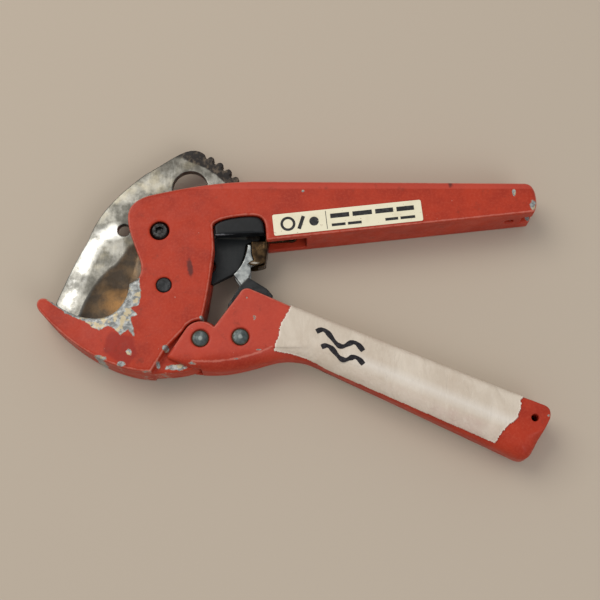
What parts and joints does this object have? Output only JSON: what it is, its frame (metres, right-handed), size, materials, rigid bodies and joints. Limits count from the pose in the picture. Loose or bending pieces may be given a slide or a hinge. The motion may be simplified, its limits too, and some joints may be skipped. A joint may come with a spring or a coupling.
{
  "type": "pipe cutter",
  "caption": "ratcheting hand cutter for plastic pipe: hooked cast jaw, toothed cleaver blade, squeeze handle with drive pawl, catch with release button",
  "frame": {"origin": "bottom centre of the whole tool's box, with the tool lying flat on its side on a table, blade closed and handles open", "axes": "+X runs along the upper handle from the jaw to the handle's end, +Y points from the lower handle towards the upper handle, +Z is square to the blade and points up from the table"},
  "size_m": [0.209, 0.1353, 0.0203],
  "materials": {
    "red_paint": "worn red enamel on cast aluminium",
    "blade_steel": "ground and scratched",
    "dark_steel": "black oxide",
    "black_pin": "black, satin",
    "bearing_brass": "turned",
    "spring_steel": "drawn wire",
    "rivet_steel": "blue-grey, worn",
    "pawl_steel": "pressed, zinc",
    "black_steel": "black, oily",
    "brown_steel": "oily brown film",
    "black_plastic": "moulded, worn on the ridge",
    "label_paper": "printed film",
    "tape_paper": "crinkled paper tape"
  },
  "bodies": {
    "frame": {"frame_casting": "red_paint", "blade_pivot_bolt": "dark_steel", "blade_pivot_nut": "dark_steel", "thrust_washer_front": "bearing_brass", "thrust_washer_rear": "bearing_brass", "blade_spring": "spring_steel", "blade_stop_pin": "black_pin", "handle_pivot_bush": "bearing_brass", "handle_spring": "spring_steel", "catch_pivot_pin": "rivet_steel", "catch_spring": "spring_steel", "label_plate": "label_paper"},
    "blade_body": {"blade": "blade_steel", "blade_bush": "bearing_brass"},
    "lower_handle_body": {"lower_handle": "red_paint", "masking_tape": "tape_paper", "handle_pivot_rivet": "rivet_steel", "pawl_pivot_rivet": "rivet_steel"},
    "drive_pawl": {"pawl_plate_front": "pawl_steel", "pawl_plate_rear": "pawl_steel", "pawl_cross_pin": "pawl_steel", "pawl_carrier": "black_steel", "pawl_spring": "spring_steel"},
    "catch": {"catch_bracket": "brown_steel", "release_button": "black_plastic"}
  },
  "joints": [
    {"name": "blade_swing", "type": "hinge", "parent": "frame", "child": "blade_body", "pos_m": [-0.0549, 0.0283, 0.01], "axis": [0, 0, 1], "range_deg": [-50, 0]},
    {"name": "handle_squeeze", "type": "hinge", "parent": "frame", "child": "lower_handle_body", "pos_m": [-0.0369, -0.0178, 0.01], "axis": [0, 0, 1], "range_deg": [0, 17], "stiffness_Nm_per_rad": 0.5, "springref_deg": -11.46},
    {"name": "pawl_swing", "type": "hinge", "parent": "lower_handle_body", "child": "drive_pawl", "pos_m": [-0.0205, -0.0171, 0.01], "axis": [0, 0, 1], "range_deg": [-23.5, 0]},
    {"name": "catch_release", "type": "hinge", "parent": "frame", "child": "catch", "pos_m": [0.0001, 0.0303, 0.01], "axis": [0, 0, 1], "range_deg": [0, 5], "stiffness_Nm_per_rad": 0.3, "springref_deg": -11.46}
  ],
  "couplings": [
    {"joint": "pawl_swing", "follows": "handle_squeeze", "ratio": -1.36}
  ]
}
